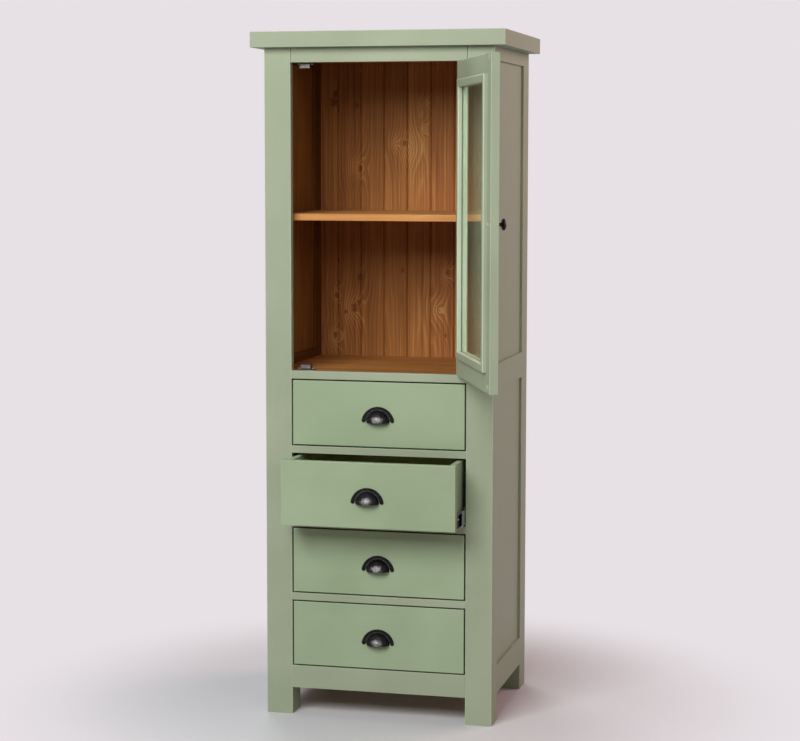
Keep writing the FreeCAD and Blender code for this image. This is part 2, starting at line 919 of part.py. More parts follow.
def carcass_nodes():
    return {
        "top_board": [top_board()],
        "front_left_stile": [front_stile(-1)],
        "front_right_stile": [front_stile(1)],
        "front_top_rail": [top_rail()],
        "front_waist_rail": [front_rail(waist_z, floor_z)],
        "drawer_divider_rails": divider_rails(),
        "front_bottom_rail": [front_rail(foot_height, bottom_rail_top_z)],
        "left_side_stiles": side_stiles(-1),
        "right_side_stiles": side_stiles(1),
        "side_rails": side_rails(),
        "side_panels": side_panels(),
        "foot_blocks": foot_blocks(),
        "back_boards": back_boards(),
        "compartment_floor": [compartment_floor()],
        "base_panel": [inside_panel(foot_height, base_thickness)],
        "top_cleats": top_cleats(),
        "shelf": [shelf()],
        "shelf_pins": shelf_pins(),
        "catch_housings": catch_housings(),
        "catch_magnets": catch_magnets(),
        "hinge_frame_leaves": frame_leaves(),
        "hinge_pins": hinge_pins(),
        "slide_battens": slide_battens(),
        "slide_outer_members": outer_members(),
        "carcass_screws": carcass_screws(),
    }


def door_nodes():
    return {
        "door_hinge_stile": [door_stile(1)],
        "door_free_stile": [door_stile(-1)],
        "door_top_rail": [door_rail(sight_top_z)],
        "door_bottom_rail": [door_rail(door_z)],
        "door_glass": [door_glass()],
        "glazing_beads": glazing_beads(),
        "door_knob": [door_knob()],
        "strike_plates": strike_plates(),
        "hinge_door_leaves": door_leaves(),
        "door_screws": door_screws(),
    }


def drawer_nodes(number):
    return {
        "front": [drawer_front(number)],
        "box": drawer_box(number),
        "bottom": [drawer_bottom(number)],
        "pull": drawer_pull(number),
        "slide_inner": inner_members(number),
    }


def export(name, solids):
    shape = solids[0] if len(solids) == 1 else Part.makeCompound(solids)
    shape.exportStep("parts/" + name + ".step")


def main():
    os.makedirs("parts", exist_ok=True)
    for name, solids in carcass_nodes().items():
        export(name, solids)
    for name, solids in door_nodes().items():
        export(name, [swung(solid) for solid in solids])
    for number in drawer_numbers:
        prefix = "drawer_" + str(number) + "_"
        distance = pulled_by(number)
        for name, solids in drawer_nodes(number).items():
            export(prefix + name, [pulled(solid, distance) for solid in solids])
        export(prefix + "slide_middle", [pulled(solid, distance / 2) for solid in middle_members(number)])


main()
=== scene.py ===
import json
import math

import bmesh
import bpy
from mathutils import Matrix, Vector

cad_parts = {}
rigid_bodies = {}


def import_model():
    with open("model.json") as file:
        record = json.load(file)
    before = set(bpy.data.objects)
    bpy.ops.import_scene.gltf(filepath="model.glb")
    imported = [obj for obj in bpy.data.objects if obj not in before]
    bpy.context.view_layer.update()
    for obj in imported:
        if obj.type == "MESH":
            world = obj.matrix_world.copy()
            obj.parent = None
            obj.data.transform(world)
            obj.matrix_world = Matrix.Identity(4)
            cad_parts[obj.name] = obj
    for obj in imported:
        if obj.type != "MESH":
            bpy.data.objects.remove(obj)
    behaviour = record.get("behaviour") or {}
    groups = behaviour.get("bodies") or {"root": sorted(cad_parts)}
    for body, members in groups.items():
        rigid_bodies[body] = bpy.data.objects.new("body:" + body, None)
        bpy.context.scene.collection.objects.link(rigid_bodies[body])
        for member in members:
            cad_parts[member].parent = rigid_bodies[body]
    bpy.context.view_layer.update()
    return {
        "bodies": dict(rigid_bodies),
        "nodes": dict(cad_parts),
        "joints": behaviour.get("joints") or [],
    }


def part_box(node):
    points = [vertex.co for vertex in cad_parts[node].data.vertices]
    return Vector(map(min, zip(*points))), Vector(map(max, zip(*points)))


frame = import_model()
nodes = frame["nodes"]
joints = {joint["name"]: joint for joint in frame["joints"]}
drawers = sorted(body for body in frame["bodies"] if body.startswith("drawer_"))

# Places that the finishes need, in metres
carcass = {
    "innerX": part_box("right_side_stiles")[0].x,  # inside face of the side frames
    "panelX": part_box("side_panels")[1].x,  # outside face of the side panels
    "frameBackY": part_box("front_left_stile")[1].y,  # back of the face frame
    "backY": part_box("back_boards")[0].y,  # inside face of the back boards
    "baseZ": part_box("base_panel")[0].z,  # underside of the carcass, above the feet
    "boardCover": 0.071,  # width that one back board shows
    "grooveDepth": 0.004,  # how far the stain runs into the joints of the back
    "skin": 0.0005,  # a plane just inside a painted face
}
hinge = {
    "place": tuple(joints["door_hinge"]["pos_m"]),
    "openAngle": math.radians(-joints["door_hinge"]["range_deg"][0]),
}

# The grain runs along local Z, so each turn lays it along the length of a board
quarter = math.pi / 2
origin = (0.0, 0.0, 0.0)
doorTurn = Matrix.Rotation(hinge["openAngle"], 3, "Z")
acrossTurn = Matrix.Rotation(quarter, 3, "Y")
upright = {"turn": origin, "place": origin}
acrossFront = {"turn": tuple(acrossTurn.to_euler()), "place": origin}
alongSide = {"turn": (-quarter, 0.0, 0.0), "place": origin}
doorUpright = {"turn": tuple(doorTurn.to_euler()), "place": hinge["place"]}
doorAcross = {"turn": tuple((doorTurn @ acrossTurn).to_euler()), "place": hinge["place"]}


def hexColour(code):  # sRGB hex to the linear colour that a socket takes
    shares = [int(code[at:at + 2], 16) / 255 for at in (1, 3, 5)]
    return [c / 12.92 if c <= 0.04045 else ((c + 0.055) / 1.055) ** 2.4 for c in shares] + [1.0]


def addNode(tree, kind, links=None, values=None, stops=None, **settings):
    made = tree.nodes.new(kind)
    for name, value in settings.items():
        setattr(made, name, value)
    for socket, value in (values or {}).items():
        made.inputs[socket].default_value = value
    for socket, source in (links or {}).items():
        tree.links.new(source, made.inputs[socket])
    for at, (place, colour) in enumerate(stops or []):
        steps = made.color_ramp.elements
        step = steps[at] if at < 2 else steps.new(place)  # a new ramp has two steps
        step.position = place
        step.color = colour
    return made


def startMaterial(name):
    made = bpy.data.materials.new(name)
    made.use_nodes = True
    made.node_tree.nodes.clear()
    return made, made.node_tree


def endMaterial(tree, surface, look):  # one glossy coat over the sockets that a finish gives
    bump = addNode(
        tree, "ShaderNodeBump", {"Height": surface["relief"]},
        {"Strength": look["bump"], "Distance": look["bumpMm"] / 1000},
    )
    shader = addNode(
        tree, "ShaderNodeBsdfPrincipled",
        {"Base Color": surface["colour"], "Roughness": surface["roughness"], "Normal": bump.outputs[0]},
        look["shader"],
    )
    addNode(tree, "ShaderNodeOutputMaterial", {"Surface": shader.outputs[0]})


def laidAlong(tree, lay=upright):  # object coordinates turned so that Z runs along the board
    place = addNode(tree, "ShaderNodeTexCoord").outputs["Object"]
    return addNode(
        tree, "ShaderNodeMapping", {"Vector": place},
        {"Rotation": lay["turn"], "Location": lay["place"]}, vector_type="TEXTURE",
    ).outputs["Vector"]


def inCells(tree, where, cellMm):  # coordinates counted in cells of a real size
    perMetre = [1000 / size for size in cellMm]
    return addNode(
        tree, "ShaderNodeVectorMath", {0: where}, {1: perMetre}, operation="MULTIPLY"
    ).outputs[0]


noiseSpan = {"From Min": 0.3, "From Max": 0.7}  # most of what a noise gives lies in between

# Sage paint
# Satin furniture paint brushed on pine: an even grey-green with a soft sheen, faint strokes
# along each board and a slight cloudiness, so that it never reads as one flat colour.
sagePaint = {
    "strokeCellMm": (2.4, 2.4, 260.0),  # one bristle mark
    "cloudCellMm": (210.0, 210.0, 210.0),
    "gritCellMm": (0.9, 0.9, 0.9),
    "strokeShare": 0.22,
    "gritShare": 0.4,
    "toneStops": (0.35, 0.66, 0.95),  # where the shade, the colour and the light tone stand
    "arrisFacing": (0.995, 0.93),  # facing along one axis where a rounded edge starts, and where it is full
    "edgeShare": 0.8,  # how far the arrises go to their pale colour: partly rubbed paint, partly a painted highlight
    "roughness": (0.44, 0.54),
    "bump": 0.06,
    "bumpMm": 0.6,
    "shader": {"IOR": 1.48, "Specular IOR Level": 0.16},
}
# The edge tone is the pale colour of the arrises: partly rubbed wear, partly a painted highlight
framePaint = {"shade": "#9DA98D", "colour": "#A5B095", "light": "#ACB79D", "edge": "#CCD5BD"}
drawerPaint = {"shade": "#9AAD8B", "colour": "#A2B593", "light": "#A9BB9B", "edge": "#C9D7BA"}


# Pale arrises: partly rubbed paint, partly a painted highlight where light catches the rounded edges
def arrisWearAndHighlight(tree, lay):  # above 0 on a rounded arris, 0 on a flat face
    facing = addNode(tree, "ShaderNodeTexCoord").outputs["Normal"]
    turned = addNode(
        tree, "ShaderNodeVectorRotate", {"Vector": facing}, {"Rotation": lay["turn"]},
        rotation_type="EULER_XYZ", invert=True,
    )
    share = addNode(tree, "ShaderNodeVectorMath", {0: turned.outputs[0]}, operation="ABSOLUTE")
    share = addNode(tree, "ShaderNodeSeparateXYZ", {0: share.outputs[0]}).outputs
    most = addNode(tree, "ShaderNodeMath", {0: share["X"], 1: share["Y"]}, operation="MAXIMUM")
    most = addNode(tree, "ShaderNodeMath", {0: most.outputs[0], 1: share["Z"]}, operation="MAXIMUM")
    flat, full = sagePaint["arrisFacing"]
    return addNode(
        tree, "ShaderNodeMapRange", {"Value": most.outputs[0]},
        {"From Min": flat, "From Max": full, "To Max": sagePaint["edgeShare"]},
    ).outputs["Result"]


def paintSockets(tree, lay, colours=framePaint):
    where = laidAlong(tree, lay)
    strokes = addNode(
        tree, "ShaderNodeTexNoise", {"Vector": inCells(tree, where, sagePaint["strokeCellMm"])},
        {"Scale": 1.0, "Detail": 3.0, "Roughness": 0.6},
    ).outputs["Fac"]
    clouds = addNode(
        tree, "ShaderNodeTexNoise", {"Vector": inCells(tree, where, sagePaint["cloudCellMm"])},
        {"Scale": 1.0, "Detail": 2.0},
    ).outputs["Fac"]
    grit = addNode(
        tree, "ShaderNodeTexNoise", {"Vector": inCells(tree, where, sagePaint["gritCellMm"])},
        {"Scale": 1.0, "Detail": 1.0},
    ).outputs["Fac"]
    blend = addNode(
        tree, "ShaderNodeMath", {0: strokes, 2: clouds}, {1: sagePaint["strokeShare"]},
        operation="MULTIPLY_ADD",
    )
    tones = [hexColour(colours[tone]) for tone in ("shade", "colour", "light")]
    colour = addNode(
        tree, "ShaderNodeValToRGB", {"Fac": blend.outputs[0]},
        stops=list(zip(sagePaint["toneStops"], tones)),
    )
    # pale arrises: rubbed paint and a painted highlight
    colour = addNode(
        tree, "ShaderNodeMix", {0: arrisWearAndHighlight(tree, lay), 6: colour.outputs["Color"]},
        {7: hexColour(colours["edge"])}, data_type="RGBA",
    ).outputs[2]
    low, high = sagePaint["roughness"]
    roughness = addNode(
        tree, "ShaderNodeMapRange", {"Value": clouds}, {**noiseSpan, "To Min": low, "To Max": high}
    ).outputs["Result"]
    relief = addNode(
        tree, "ShaderNodeMath", {0: grit, 2: strokes}, {1: sagePaint["gritShare"]},
        operation="MULTIPLY_ADD",
    ).outputs[0]
    return {"colour": colour, "roughness": roughness, "relief": relief}


def makeSagePaint(name, lay, colours=framePaint):
    made, tree = startMaterial(name)
    endMaterial(tree, paintSockets(tree, lay, colours), sagePaint)
    return made


# Pine
# Flat-sawn pine: rings of the trunk cut lengthwise, so lines run along the board, bow into arches
# and flow round knots. Fibres and rings are drawn two or three times as wide as life to show.
pine = {
    "ringMm": 7.5,
    "ringTones": [(0.0, 0.5), (0.58, 0.18), (0.82, 1.0), (1.0, 0.5)],  # place in a ring, and how pale it is
    "midTone": 0.5,
    "streakCellMm": (3.6, 3.6, 420.0),
    "cloudCellMm": (110.0, 110.0, 320.0),
    "wholeWidth": 10.0,  # metres, wider than any piece, for a piece that is all one board
    "trunkShift": 7.0,  # metres that the trunks of two boards may lie apart
    "pithOffMm": 45.0,  # how far the heart of the trunk lies from the middle of a board
    "pithDepthMm": (18.0, 56.0),
    "lean": 0.035,  # slope of the trunk against the board
    "wanderMm": 14.0,
    "wanderCellMm": (140.0, 140.0, 760.0),
    "rippleMm": 8.0,
    "rippleCellMm": (26.0, 26.0, 190.0),
    "scatterCellMm": (420.0, 420.0, 840.0),  # spacing of the knots where none are placed by hand
    "scatterKnotMm": 9.0,
    "lengthwise": 0.7,  # distance along the grain counts less, so knots are longer than wide
    "spotBlend": 0.4,  # how softly neighbouring knots run together
    "knotRoughCellMm": (9.0, 9.0, 9.0),
    "knotRoughShare": 1.6,
    "knotEdge": (2.1, 1.3),  # radii from its middle where a knot starts, and where it is full
    "knotShare": 0.8,
    "rimRadius": 2.0,  # radii from its middle where the brown rim of a knot is strongest
    "knotBendMm": 16.0,  # how far a knot pushes the rings aside
    "swirlBendMm": 30.0,
    "swirlEdge": (2.2, 0.2),
    "bendFade": 0.7,  # how fast the bend dies away, per radius
    "poolMm": (1.4, 0.42),  # from a joint, where gathered stain starts and where it is full
}


def nearestSpot(tree, where, spots):  # distance to the nearest spot, counted in its radius
    nearest = None
    for x, z, radius in spots:
        middle = (x / 1000, 0.0, z / 1000)
        perRadius = (1000 / radius, 0.0, 1000 * pine["lengthwise"] / radius)
        off = addNode(tree, "ShaderNodeVectorMath", {0: where}, {1: middle}, operation="SUBTRACT")
        off = addNode(
            tree, "ShaderNodeVectorMath", {0: off.outputs[0]}, {1: perRadius}, operation="MULTIPLY"
        )
        far = addNode(tree, "ShaderNodeVectorMath", {0: off.outputs[0]}, operation="LENGTH")
        far = far.outputs["Value"]
        if nearest is not None:
            far = addNode(
                tree, "ShaderNodeMath", {0: nearest, 1: far}, {2: pine["spotBlend"]}, operation="SMOOTH_MIN"
            ).outputs[0]
        nearest = far
    return nearest


def bendRings(tree, reach, nearest, bendMm):  # rings flow round a knot or a swirl, and show more there
    hump = addNode(tree, "ShaderNodeMath", {0: nearest}, {1: -pine["bendFade"]}, operation="MULTIPLY")
    hump = addNode(tree, "ShaderNodeMath", {0: hump.outputs[0]}, operation="EXPONENT").outputs[0]
    bent = addNode(
        tree, "ShaderNodeMath", {0: hump, 2: reach}, {1: bendMm / 1000}, operation="MULTIPLY_ADD"
    )
    return bent.outputs[0], hump


def ownTrunk(tree, where, boardWidth):  # each board has its own trunk, so its own figure and tone
    width = boardWidth or pine["wholeWidth"]
    split = addNode(tree, "ShaderNodeSeparateXYZ", {0: where})
    x = split.outputs["X"]
    number = addNode(tree, "ShaderNodeMath", {0: x}, {1: 1 / width, 2: 0.5}, operation="MULTIPLY_ADD")
    number = addNode(tree, "ShaderNodeMath", {0: number.outputs[0]}, operation="FLOOR").outputs[0]
    own = addNode(tree, "ShaderNodeTexWhiteNoise", {"W": number}, noise_dimensions="1D").outputs["Color"]
    shift = addNode(
        tree, "ShaderNodeVectorMath", {0: own}, {"Scale": pine["trunkShift"]}, operation="SCALE"
    )
    moved = addNode(tree, "ShaderNodeVectorMath", {0: where, 1: shift.outputs[0]}, operation="ADD")
    off = addNode(tree, "ShaderNodeMath", {0: number, 2: x}, {1: -width}, operation="MULTIPLY_ADD")
    return {
        "where": moved.outputs[0],  # coordinates in that trunk
        "off": off.outputs[0],  # distance from the middle of the board
        "along": split.outputs["Z"],
        "chance": addNode(tree, "ShaderNodeSeparateColor", {0: own}).outputs,
    }


def pithReach(tree, board):  # distance from the pith, which wanders and leans along the board
    wander = addNode(
        tree, "ShaderNodeTexNoise", {"Vector": inCells(tree, board["where"], pine["wanderCellMm"])},
        {"Scale": 1.0, "Detail": 2.0},
    ).outputs["Fac"]
    ripple = addNode(
        tree, "ShaderNodeTexNoise", {"Vector": inCells(tree, board["where"], pine["rippleCellMm"])},
        {"Scale": 1.0, "Detail": 3.0},
    ).outputs["Fac"]
    shallow, deep = pine["pithDepthMm"]
    spans = [
        (wander, -pine["wanderMm"] / 1000, pine["wanderMm"] / 1000),
        (board["chance"][0], -pine["pithOffMm"] / 1000, pine["pithOffMm"] / 1000),
        (board["chance"][1], shallow / 1000, deep / 1000),
        (board["chance"][2], -pine["lean"], pine["lean"]),
    ]
    wander, pith, depth, lean = [
        addNode(
            tree, "ShaderNodeMapRange", {"Value": source}, {"To Min": least, "To Max": most}
        ).outputs["Result"]
        for source, least, most in spans
    ]
    aside = addNode(tree, "ShaderNodeMath", {0: board["off"], 1: pith}, operation="SUBTRACT")
    aside = addNode(tree, "ShaderNodeMath", {0: aside.outputs[0], 1: wander}, operation="ADD")
    inPlane = addNode(tree, "ShaderNodeCombineXYZ", {0: aside.outputs[0], 1: depth})
    reach = addNode(tree, "ShaderNodeVectorMath", {0: inPlane.outputs[0]}, operation="LENGTH")
    reach = addNode(
        tree, "ShaderNodeMath", {0: board["along"], 1: lean, 2: reach.outputs["Value"]},
        operation="MULTIPLY_ADD",
    )
    return addNode(
        tree, "ShaderNodeMath", {0: ripple, 2: reach.outputs[0]}, {1: pine["rippleMm"] / 1000},
        operation="MULTIPLY_ADD",
    ).outputs[0]


def knotReach(tree, where, board, knots):  # distance to the nearest knot in its radius, with a ragged edge
    if knots:
        nearest = nearestSpot(tree, where, knots)
    else:
        cells = inCells(tree, board["where"], pine["scatterCellMm"])
        perRadius = pine["scatterCellMm"][0] / pine["scatterKnotMm"]
        spots = addNode(tree, "ShaderNodeTexVoronoi", {"Vector": cells}, {"Scale": 1.0}, feature="F1")
        nearest = addNode(
            tree, "ShaderNodeMath", {0: spots.outputs["Distance"]}, {1: perRadius}, operation="MULTIPLY"
        ).outputs[0]
    rough = addNode(
        tree, "ShaderNodeTexNoise", {"Vector": inCells(tree, where, pine["knotRoughCellMm"])},
        {"Scale": 1.0, "Detail": 2.0},
    )
    return addNode(
        tree, "ShaderNodeMath", {0: rough.outputs["Fac"], 2: nearest}, {1: pine["knotRoughShare"]},
        operation="MULTIPLY_ADD",
    ).outputs[0]


def pineSockets(tree, lay, boardWidth=None, knots=(), swirls=()):
    where = laidAlong(tree, lay)
    board = ownTrunk(tree, where, boardWidth)
    nearest = knotReach(tree, where, board, knots)
    reach, figure = bendRings(tree, pithReach(tree, board), nearest, pine["knotBendMm"])
    made = {"board": board["chance"][0], "tint": board["chance"][1]}

    # knots, swirls and the stain that gathers beside a joint
    start, full = pine["knotEdge"]
    made["knot"] = addNode(
        tree, "ShaderNodeMapRange", {"Value": nearest},
        {"From Min": start, "From Max": full, "To Max": pine["knotShare"]}, interpolation_type="SMOOTHSTEP",
    ).outputs["Result"]
    made["rim"] = addNode(
        tree, "ShaderNodeMath", {0: nearest}, {1: pine["rimRadius"]}, operation="PINGPONG"
    ).outputs[0]
    if swirls:
        swirl = nearestSpot(tree, where, swirls)
        reach, swirled = bendRings(tree, reach, swirl, pine["swirlBendMm"])
        figure = addNode(tree, "ShaderNodeMath", {0: figure, 1: swirled}, operation="MAXIMUM").outputs[0]
        start, full = pine["swirlEdge"]
        made["swirl"] = addNode(
            tree, "ShaderNodeMapRange", {"Value": swirl}, {"From Min": start, "From Max": full},
            interpolation_type="SMOOTHSTEP",
        ).outputs["Result"]
    made["figure"] = figure
    if boardWidth:
        start, full = [boardWidth / 2 - size / 1000 for size in pine["poolMm"]]
        edge = addNode(tree, "ShaderNodeMath", {0: board["off"]}, operation="ABSOLUTE")
        made["pool"] = addNode(
            tree, "ShaderNodeMapRange", {"Value": edge.outputs[0]}, {"From Min": start, "From Max": full},
            interpolation_type="SMOOTHSTEP",
        ).outputs["Result"]

    # rings, streaks and clouds
    rings = addNode(tree, "ShaderNodeMath", {0: reach}, {1: 1000 / pine["ringMm"]}, operation="MULTIPLY")
    made["ring"] = addNode(tree, "ShaderNodeMath", {0: rings.outputs[0]}, operation="FRACT").outputs[0]
    made["streak"] = addNode(
        tree, "ShaderNodeTexNoise", {"Vector": inCells(tree, board["where"], pine["streakCellMm"])},
        {"Scale": 1.0, "Detail": 4.0, "Roughness": 0.62},
    ).outputs["Fac"]
    made["cloud"] = addNode(
        tree, "ShaderNodeTexNoise", {"Vector": inCells(tree, board["where"], pine["cloudCellMm"])},
        {"Scale": 1.0, "Detail": 2.0},
    ).outputs["Fac"]
    return made


# Stained pine
# Brown stain wiped on and waxed: the soft wood between the rings drinks the stain and goes dark,
# the hard ring lines stay paler, the knots are nearly black and stain gathers in the joints.
stainedPine = {
    "dark": "#704426",
    "base": "#AE7342",
    "pale": "#D6A26C",
    "golden": "#FBFDE4",  # two faint washes that the boards lie between
    "rosy": "#FFF5EA",
    "knot": "#3A1C0B",
    "rim": "#7C4A22",
    "pooled": "#3E200D",
    "ringShare": 0.16,
    "streakShare": 1.1,
    "cloudShare": 0.55,
    "boardShare": 0.20,
    "figureShare": 0.85,  # how much the rings show round knots and swirls
    "swirlShare": 0.22,
    "poolShare": 0.25,
    "ringRelief": 0.3,
    "roughness": (0.62, 0.46),
    "bump": 0.12,
    "bumpMm": 0.8,
    "shader": {"IOR": 1.46, "Specular IOR Level": 0.22},
}
# The same wood in other finishes: walls stained darker as painted shade, with pale arrises of rubbed wear
# and painted highlight, their frames darker still as deeper painted shade, a honey-coloured shelf, bare
# battens with plain rings, and dry plywood with faint ones.
shadedWallPine = dict(stainedPine, dark="#5E371A", base="#926034", pale="#B38656", edge="#DDB07A")
shadedStilePine = dict(shadedWallPine, dark="#43270F", base="#6C4423", pale="#89623A")
shelfPine = dict(stainedPine, dark="#A06634", base="#CF905A", pale="#E2AC78", knot="#6B3E1C")
rawPine = dict(
    stainedPine, dark="#B98F5E", base="#DBBC92", pale="#ECD7B4", knot="#6E4526", rim="#9C6B3E",
    pooled="#5E4024", ringShare=0.34, boardShare=0.5, poolShare=0.75,
)
plywood = dict(
    stainedPine, dark="#A08258", base="#B59B70", pale="#C6AF88", knot="#8C6C44", ringShare=0.15
)


def pineTone(tree, wood, colours):  # 0 is the darkest wood, 1 the palest
    ring = addNode(
        tree, "ShaderNodeValToRGB", {"Fac": wood["ring"]},
        stops=[(place, (level, level, level, 1.0)) for place, level in pine["ringTones"]],
    ).outputs["Color"]
    strong = addNode(tree, "ShaderNodeMath", {0: ring}, {1: pine["midTone"]}, operation="SUBTRACT")
    strong = addNode(
        tree, "ShaderNodeMath", {0: strong.outputs[0], 1: wood["figure"]}, operation="MULTIPLY"
    )
    layers = dict(wood, figure=strong.outputs[0])
    spread = sum(colours[part + "Share"] for part in ("ring", "streak", "cloud", "board"))
    tone = addNode(
        tree, "ShaderNodeMath", {0: ring}, {1: colours["ringShare"], 2: pine["midTone"] - spread / 2},
        operation="MULTIPLY_ADD",
    ).outputs[0]
    for part in ("streak", "cloud", "board", "figure", "swirl"):
        if part in layers:
            tone = addNode(
                tree, "ShaderNodeMath", {0: layers[part], 2: tone}, {1: colours[part + "Share"]},
                operation="MULTIPLY_ADD",
            ).outputs[0]
    return tone


def pineColour(tree, wood, colours):
    body = addNode(
        tree, "ShaderNodeValToRGB", {"Fac": pineTone(tree, wood, colours)},
        stops=[
            (0.0, hexColour(colours["dark"])),
            (pine["midTone"], hexColour(colours["base"])),
            (1.0, hexColour(colours["pale"])),
        ],
    )
    wash = addNode(
        tree, "ShaderNodeMix", {0: wood["tint"]},
        {6: hexColour(colours["golden"]), 7: hexColour(colours["rosy"])}, data_type="RGBA",
    )
    colour = addNode(
        tree, "ShaderNodeVectorMath", {0: body.outputs["Color"], 1: wash.outputs[2]}, operation="MULTIPLY"
    ).outputs[0]
    knot = addNode(
        tree, "ShaderNodeMix", {0: wood["rim"]},
        {6: hexColour(colours["knot"]), 7: hexColour(colours["rim"])}, data_type="RGBA",
    ).outputs[2]
    colour = addNode(
        tree, "ShaderNodeMix", {0: wood["knot"], 6: colour, 7: knot}, data_type="RGBA"
    ).outputs[2]
    if "pool" in wood:
        share = addNode(
            tree, "ShaderNodeMath", {0: wood["pool"]}, {1: colours["poolShare"]}, operation="MULTIPLY"
        )
        colour = addNode(
            tree, "ShaderNodeMix", {0: share.outputs[0], 6: colour}, {7: hexColour(colours["pooled"])},
            data_type="RGBA",
        ).outputs[2]
    return colour


def woodSockets(tree, lay, colours=stainedPine, **figure):
    wood = pineSockets(tree, lay, **figure)
    dull, waxed = colours["roughness"]
    roughness = addNode(
        tree, "ShaderNodeMapRange", {"Value": wood["streak"]},
        {**noiseSpan, "To Min": dull, "To Max": waxed},
    ).outputs["Result"]
    relief = addNode(
        tree, "ShaderNodeMath", {0: wood["ring"], 2: wood["streak"]}, {1: colours["ringRelief"]},
        operation="MULTIPLY_ADD",
    ).outputs[0]
    colour = pineColour(tree, wood, colours)
    # pale arrises on the walls: rubbed stain and a painted highlight where the front light catches them
    if "edge" in colours:
        colour = addNode(
            tree, "ShaderNodeMix", {0: arrisWearAndHighlight(tree, lay), 6: colour}, {7: hexColour(colours["edge"])},
            data_type="RGBA",
        ).outputs[2]
    return {"colour": colour, "roughness": roughness, "relief": relief}


def makePine(name, lay, colours=stainedPine):
    made, tree = startMaterial(name)
    endMaterial(tree, woodSockets(tree, lay, colours), colours)
    return made


# One board often shows two finishes, so the finish changes at a plane of the board
def makeTwoFaced(name, before, after, axis, plane, mirrored=False, afterBelow=None):
    made, tree = startMaterial(name)
    first, second = before(tree), after(tree)
    place = addNode(tree, "ShaderNodeSeparateXYZ", {0: laidAlong(tree)}).outputs
    value = place[axis]
    if mirrored:
        value = addNode(tree, "ShaderNodeMath", {0: value}, operation="ABSOLUTE").outputs[0]
    mask = addNode(tree, "ShaderNodeMath", {0: value}, {1: plane}, operation="GREATER_THAN").outputs[0]
    if afterBelow:  # under this height the second finish goes all round
        low = addNode(tree, "ShaderNodeMath", {0: place["Z"]}, {1: afterBelow}, operation="LESS_THAN")
        mask = addNode(tree, "ShaderNodeMath", {0: mask, 1: low.outputs[0]}, operation="MAXIMUM").outputs[0]
    surface = {}
    for part in ("roughness", "relief"):
        mixed = addNode(tree, "ShaderNodeMix", {0: mask, 2: first[part], 3: second[part]})
        surface[part] = mixed.outputs[0]
    surface["colour"] = addNode(
        tree, "ShaderNodeMix", {0: mask, 6: first["colour"], 7: second["colour"]}, data_type="RGBA"
    ).outputs[2]
    endMaterial(tree, surface, sagePaint)
    return made


# Sides: stained inside, up to the middle of the panels, and painted outside and on the feet
# the inside wears wall pine darkened as painted shade, where little light reaches
def makePaintedOutside(name, lay, colours=shadedWallPine):
    middle = (carcass["innerX"] + carcass["panelX"]) / 2
    return makeTwoFaced(
        name, lambda tree: woodSockets(tree, lay, colours), lambda tree: paintSockets(tree, lay),
        "X", middle, mirrored=True, afterBelow=carcass["baseZ"],
    )


# Face frame: painted except its back
def makePaintedFront(name, lay):
    return makeTwoFaced(
        name, lambda tree: paintSockets(tree, lay), lambda tree: woodSockets(tree, lay),
        "Y", carcass["frameBackY"] - carcass["skin"],
    )


# Back boards: stained where they show inside, bare wood behind
# Each knot and swirl has its x, z and radius in mm.
backFigure = {
    "knots": [
        (-255, 1746, 8), (-260, 1722, 11), (-246, 1702, 4), (-190, 1713, 6),
        (-178, 1528, 8), (-44, 1600, 6), (-248, 1253, 4), (-180, 1204, 8),
        (-252, 1150, 7), (-184, 1129, 6), (-198, 1114, 9), (-224, 1102, 5),
        (-50, 1225, 5), (87, 1222, 7), (-256, 1030, 7), (81, 1036, 4),
    ],
    "swirls": [
        (-28, 1590, 24), (-70, 1600, 14), (-186, 1530, 18), (23, 1719, 7), (17, 1642, 9),
        (-256, 1026, 14), (-196, 1110, 24), (87, 1218, 14), (60, 1110, 20), (-252, 1150, 12),
    ],
}


def makeBackBoards(name):
    def stained(tree):
        return woodSockets(tree, upright, boardWidth=carcass["boardCover"], **backFigure)

    def bare(tree):
        return woodSockets(tree, upright, rawPine, boardWidth=carcass["boardCover"])

    return makeTwoFaced(name, stained, bare, "Y", carcass["backY"] + carcass["grooveDepth"])


# Glazing beads: painted, with painted shade in a dark line against the glass, measured from the hinge pins
glazingCreaseShade = {"fullMm": 24.8, "endMm": 26.0, "share": 0.85, "colour": "#2A2A20"}


def makeGlazingBead(name):
    made, tree = startMaterial(name)
    surface = paintSockets(tree, doorUpright)
    depth = addNode(tree, "ShaderNodeSeparateXYZ", {0: laidAlong(tree, doorUpright)}).outputs["Y"]
    end, full = glazingCreaseShade["endMm"] / 1000, glazingCreaseShade["fullMm"] / 1000
    # painted shade: the bead darkens towards the glass
    creaseShade = addNode(
        tree, "ShaderNodeMapRange", {"Value": depth},
        {"From Min": end, "From Max": full, "To Max": glazingCreaseShade["share"]},
    )
    surface["colour"] = addNode(
        tree, "ShaderNodeMix", {0: creaseShade.outputs["Result"], 6: surface["colour"]},
        {7: hexColour(glazingCreaseShade["colour"])}, data_type="RGBA",
    ).outputs[2]
    endMaterial(tree, surface, sagePaint)
    return made


